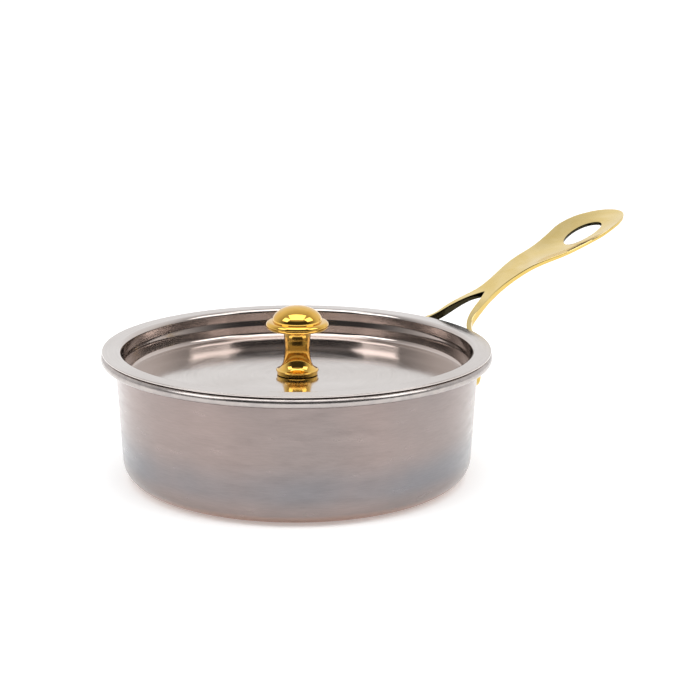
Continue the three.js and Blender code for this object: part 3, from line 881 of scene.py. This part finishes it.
head_top = washer_under - NEST_GAP
head_under = head_top - SCREW_HEAD[1]
screw_end = knob_seat + SCREW_REACH
screw = turned("knob_screw", [
    (0, head_under),
    *arc((SCREW_HEAD[0] - SCREW_ROUND, head_under + SCREW_ROUND), SCREW_ROUND, -90, 0, 8),
    (SCREW_HEAD[0], head_top),
    (SCREW_RADIUS, head_top),
    (SCREW_RADIUS, screw_end - SCREW_TIP),
    (SCREW_RADIUS - SCREW_TIP, screw_end),
    (0, screw_end),
], 96)
slot_cut = bmesh.new()
bmesh.ops.create_cube(slot_cut, size=1)
slot_block = (4 * SCREW_HEAD[0], SCREW_SLOT[0], 2 * SCREW_SLOT[1])
bmesh.ops.scale(slot_cut, vec=slot_block, verts=slot_cut.verts)
bmesh.ops.translate(slot_cut, vec=(0, 0, head_under), verts=slot_cut.verts)
cutter = as_object(slot_cut, "screw slot")
cutting = screw.modifiers.new("slot", "BOOLEAN")
cutting.operation = "DIFFERENCE"
cutting.object = cutter
bpy.context.view_layer.update()
cut_screw = screw.evaluated_get(bpy.context.evaluated_depsgraph_get())
slotted = bpy.data.meshes.new_from_object(cut_screw)
screw.modifiers.clear()
screw.data = slotted
bpy.data.objects.remove(cutter)
screw.data.set_sharp_from_angle(angle=math.radians(SCREW_SHARP_ANGLE))

for fastener, node in ((washer, "knob_washer"), (screw, "knob_screw")):
    fastener.data.materials.clear()
    fastener.data.materials.append(fastener_steel)
    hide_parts(node)
    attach(fastener, "lid")


# ---------- Studio ----------
# A seamless sheet of white paper under one big soft light overhead, a lit card at each side, a
# bright room behind the pan and a dim one on the camera's side. Sizes here are in metres.

FLOOR_HALF = 12.0
FLOOR_DROP_MM = 0.1
PAPER_WHITES = ((0.90, 0.90, 0.90), (0.93, 0.93, 0.93))
PAPER_GLOW = 0.55
# The glow's share near the pan and far out, and the distances between which it grows
GLOW_SHARES = (0.55, 1.0)
GLOW_REACH = (0.5, 3.0)
EYE = Vector((-0.4156, -0.5913, 0.2327))
TARGET = Vector((0.01913, -0.01441, 0.05747))
LENS = 84.06
SENSOR = 36
CAMERA_TILT = 0.354
# Each light: how far away from the camera, to its right and up; its width and depth; its strength
LIGHTS = {
    "overhead": ((-0.35, 0.0, 1.6), (1.5, 1.3), 7.0),
    "left card": ((-0.55, -1.1, 1.1), (0.8, 0.8), 8.5),
    "right card": ((-0.4, 1.15, 1.1), (0.9, 0.8), 8.0),
}
SEEN_WHITE = 1.1

scene = bpy.context.scene
scene.view_settings.view_transform = "Standard"

sweep = bmesh.new()
bmesh.ops.create_grid(sweep, x_segments=8, y_segments=8, size=FLOOR_HALF / MM)
bmesh.ops.translate(sweep, vec=(0, 0, -FLOOR_DROP_MM), verts=sweep.verts)
floor = as_object(sweep, "floor")
paper = bpy.data.materials.new("white paper")
paper.use_nodes = True
tree = paper.node_tree
shader = tree.nodes["Principled BSDF"]
shader.inputs["Roughness"].default_value = 0.9
shader.inputs["Specular IOR Level"].default_value = 0.1
shader.inputs["Emission Strength"].default_value = PAPER_GLOW
where = put(tree, "TexCoord").outputs["Object"]
fibre = put(tree, "TexNoise", ("Vector", where), ("Scale", 900.0), ("Detail", 4.0)).outputs[0]
tone = blend(tree, fibre, *PAPER_WHITES)
tree.links.new(tone, shader.inputs["Base Color"])
# Painted light: the paper glows a little, which lifts the pan's shadow on it, and more so further
# out, so that it runs into the background without an edge
_, distance, _ = round_axis(tree)
glow = spread(tree, distance, *GLOW_REACH, *GLOW_SHARES)
tree.links.new(glow, shader.inputs["Emission Color"])
# The sheet's face is turned down and left clear, so that the pan's underside can be looked at
tree.links.new(put(tree, "NewGeometry").outputs["Backfacing"], shader.inputs["Alpha"])
floor.data.materials.append(paper)

sight = (TARGET - EYE).normalized()
aside = sight.cross(Vector((0, 0, 1))).normalized()
camera = bpy.data.objects.new("camera", bpy.data.cameras.new("camera"))
scene.collection.objects.link(camera)
camera.data.lens = LENS
camera.data.sensor_width = SENSOR
camera.data.clip_start = 0.01
tilt = math.radians(CAMERA_TILT)
over = aside.cross(sight)
right = aside * math.cos(tilt) + over * math.sin(tilt)
upward = over * math.cos(tilt) - aside * math.sin(tilt)
turned_to = Matrix((right, upward, -sight)).transposed().to_4x4()
camera.matrix_world = Matrix.Translation(EYE) @ turned_to
scene.camera = camera

away = Vector((sight.x, sight.y, 0)).normalized()
mid_pan = Vector((0, 0, 0.04))
for name, ((ahead, across, height), (width, depth), strength) in LIGHTS.items():
    lamp = bpy.data.lights.new(name, "AREA")
    lamp.shape = "RECTANGLE"
    lamp.size, lamp.size_y = width, depth
    lamp.energy = strength * width * depth
    light = bpy.data.objects.new(name, lamp)
    light.location = away * ahead + aside * across + Vector((0, 0, height))
    light.rotation_mode = "QUATERNION"
    light.rotation_quaternion = (mid_pan - light.location).to_track_quat("-Z", "Y")
    scene.collection.objects.link(light)

world = bpy.data.worlds.new("studio")
scene.world = world
world.use_nodes = True
tree = world.node_tree
tree.nodes.clear()
toward = put(tree, "TexCoord").outputs["Generated"]
facing = put(tree, "VectorMath", (0, toward), (1, -away), operation="DOT_PRODUCT").outputs["Value"]
up = put(tree, "SeparateXYZ", (0, toward)).outputs[2]
# Bright behind the pan and dim on the camera's side, with a soft ceiling over both
room = spread(tree, facing, -0.7, 0.75, 1.0, 0.05, smooth=True)
lifted = spread(tree, up, 0.45, 0.8, 0.0, 0.55, smooth=True)
ceiling = spread(tree, up, 0.6, 0.9, 1.0, 0.8, smooth=True)
room = math_of(tree, "MULTIPLY", room, ceiling)
level = math_of(tree, "MAXIMUM", room, lifted)
seen = put(tree, "LightPath").outputs["Is Camera Ray"]
level = math_of(tree, "MAXIMUM", level, math_of(tree, "MULTIPLY", seen, SEEN_WHITE))
glow = put(tree, "Background", (0, (1, 1, 1, 1)), (1, level))
end = tree.nodes.new("ShaderNodeOutputWorld")
tree.links.new(glow.outputs[0], end.inputs[0])
